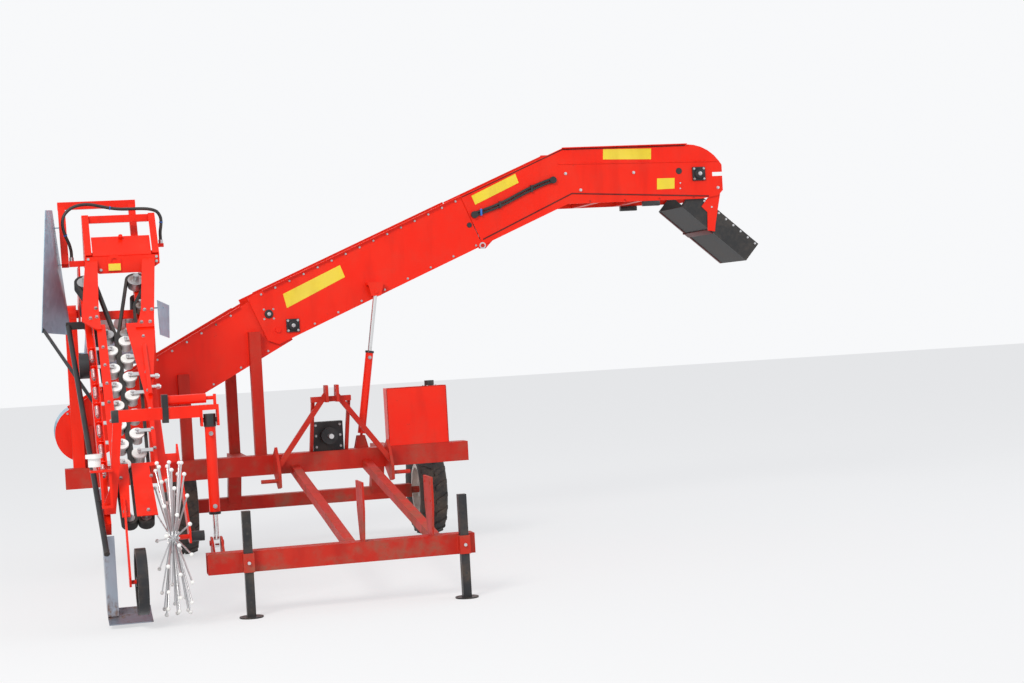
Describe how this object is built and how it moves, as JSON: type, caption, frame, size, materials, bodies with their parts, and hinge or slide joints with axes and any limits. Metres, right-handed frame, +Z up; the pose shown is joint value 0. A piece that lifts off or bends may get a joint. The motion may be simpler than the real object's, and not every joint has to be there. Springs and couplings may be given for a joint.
{
  "type": "top-lifting root harvester",
  "caption": "Carried single-row root harvester: sloping picking belts with a finger wheel, a cross web conveyor and a folding gooseneck discharge boom on a frame with support wheels.",
  "frame": {"origin": "centre of the bounding box at ground level", "axes": "+Z up, -Y the way it travels, +X to the machine's left, where the boom discharges"},
  "size_m": [5.4248, 4.255, 2.91],
  "materials": {
    "red_paint": "gloss, weathered",
    "dark_steel": "satin",
    "bare_steel": "worn",
    "zinc": "galvanised",
    "nylon": "worn",
    "belt_rubber": "matt",
    "tyre_rubber": "matt",
    "white_paint": "satin"
  },
  "bodies": {
    "chassis": {"main_frame": "red_paint", "headstock": "red_paint", "axle_beam": "red_paint", "conveyor_posts": "red_paint", "picker_mast": "red_paint", "push_tubes": "red_paint", "belly_beam": "red_paint", "cross_trough": "red_paint", "cross_web": "belt_rubber", "transfer_chute": "zinc", "gearbox": "dark_steel", "oil_tank": "red_paint"},
    "input_shaft": {"pto_stub": "bare_steel"},
    "wheel_right": {"tyre_right": "tyre_rubber", "rim_right": "white_paint"},
    "wheel_left": {"tyre_left": "tyre_rubber", "rim_left": "white_paint"},
    "stand_right": {"stand_right": "dark_steel"},
    "stand_left": {"stand_left": "dark_steel"},
    "picker": {"rail_left": "red_paint", "rail_right": "red_paint", "belt_rollers": "nylon", "picking_belts": "belt_rubber", "belt_pulleys": "bare_steel", "tension_rods": "bare_steel", "head_frame": "red_paint", "head_hoop": "red_paint", "head_hose": "red_paint", "pivot_arms": "red_paint", "deflectors": "zinc", "side_bars": "dark_steel", "nose": "red_paint", "share": "bare_steel", "wheel_arm": "red_paint", "front_arm": "red_paint"},
    "head_cover": {"head_cover": "red_paint"},
    "gauge_wheel": {"gauge_wheel": "dark_steel"},
    "finger_wheel": {"finger_wheel": "nylon"},
    "topper_right": {"topper_right": "bare_steel"},
    "topper_left": {"topper_left": "bare_steel"},
    "lift_barrel": {"lift_barrel": "red_paint"},
    "lift_rod": {"lift_rod": "bare_steel"},
    "boom": {"boom_lower": "red_paint", "boom_web": "belt_rubber"},
    "boom_barrel": {"boom_barrel": "red_paint"},
    "boom_rod": {"boom_rod": "bare_steel"},
    "boom_tip": {"boom_tip": "red_paint", "tip_hoses": "red_paint", "tip_web": "belt_rubber"},
    "chute": {"chute": "belt_rubber"}
  },
  "joints": [
    {"name": "input_shaft", "type": "hinge", "parent": "chassis", "child": "input_shaft", "pos_m": [-0.74235, 0.7225, 0.88], "axis": [0, 1, 0], "continuous": true},
    {"name": "wheel_right", "type": "hinge", "parent": "chassis", "child": "wheel_right", "pos_m": [-1.74235, 1.7725, 0.355], "axis": [1, 0, 0], "continuous": true},
    {"name": "wheel_left", "type": "hinge", "parent": "chassis", "child": "wheel_left", "pos_m": [0.15765, 1.7725, 0.355], "axis": [1, 0, 0], "continuous": true},
    {"name": "stand_right", "type": "slide", "parent": "chassis", "child": "stand_right", "axis": [0, 0, 1], "range_m": [0, 0.25]},
    {"name": "stand_left", "type": "slide", "parent": "chassis", "child": "stand_left", "axis": [0, 0, 1], "range_m": [0, 0.25]},
    {"name": "picker_lift", "type": "hinge", "parent": "chassis", "child": "picker", "pos_m": [-2.24735, 0.8225, 1.85], "axis": [-1, 0, 0], "range_deg": [0, 8]},
    {"name": "head_cover", "type": "hinge", "parent": "picker", "child": "head_cover", "pos_m": [-2.24735, 0.1945, 2.2213], "axis": [1, 0, 0], "range_deg": [0, 80]},
    {"name": "gauge_wheel", "type": "hinge", "parent": "picker", "child": "gauge_wheel", "pos_m": [-2.25735, -1.8075, 0.27], "axis": [1, 0, 0], "continuous": true},
    {"name": "finger_wheel", "type": "hinge", "parent": "picker", "child": "finger_wheel", "pos_m": [-2.05735, -1.6775, 0.49], "axis": [1, 0, 0], "continuous": true},
    {"name": "topper_right", "type": "hinge", "parent": "picker", "child": "topper_right", "pos_m": [-2.14735, 0.12137, 1.74962], "axis": [0, -0.6428, 0.766], "continuous": true},
    {"name": "topper_left", "type": "hinge", "parent": "picker", "child": "topper_left", "pos_m": [-2.34735, 0.12137, 1.74962], "axis": [0, -0.6428, 0.766], "continuous": true},
    {"name": "lift_barrel", "type": "hinge", "parent": "picker", "child": "lift_barrel", "pos_m": [-1.79235, -1.4875, 1.15], "axis": [1, 0, 0], "range_deg": [-1, 15]},
    {"name": "lift_rod", "type": "slide", "parent": "lift_barrel", "child": "lift_rod", "axis": [0, 0, -1], "range_m": [-0.01, 0.36]},
    {"name": "boom_raise", "type": "hinge", "parent": "chassis", "child": "boom", "pos_m": [-1.04235, 1.2225, 1.66], "axis": [0, -1, 0], "range_deg": [-6, 10]},
    {"name": "boom_barrel", "type": "hinge", "parent": "chassis", "child": "boom_barrel", "pos_m": [-0.49235, 0.8725, 0.83], "axis": [0, -1, 0], "range_deg": [-10, 10]},
    {"name": "boom_rod", "type": "slide", "parent": "boom_barrel", "child": "boom_rod", "axis": [0.1569, 0, 0.9876], "range_m": [-0.2, 0.25]},
    {"name": "boom_fold", "type": "hinge", "parent": "boom", "child": "boom_tip", "pos_m": [0.51365, 1.2225, 2.203], "axis": [0, 1, 0], "range_deg": [0, 70]},
    {"name": "chute_swing", "type": "hinge", "parent": "boom_tip", "child": "chute", "pos_m": [2.39765, 1.2225, 2.565], "axis": [0, -1, 0], "range_deg": [-15, 45]}
  ],
  "couplings": [
    {"joint": "lift_barrel", "follows": "picker_lift", "ratio": 1.5838},
    {"joint": "lift_rod", "follows": "picker_lift", "m_per_rad": 2.3609},
    {"joint": "boom_barrel", "follows": "boom_raise", "ratio": 0.3322},
    {"joint": "boom_rod", "follows": "boom_raise", "m_per_rad": 0.6615}
  ]
}
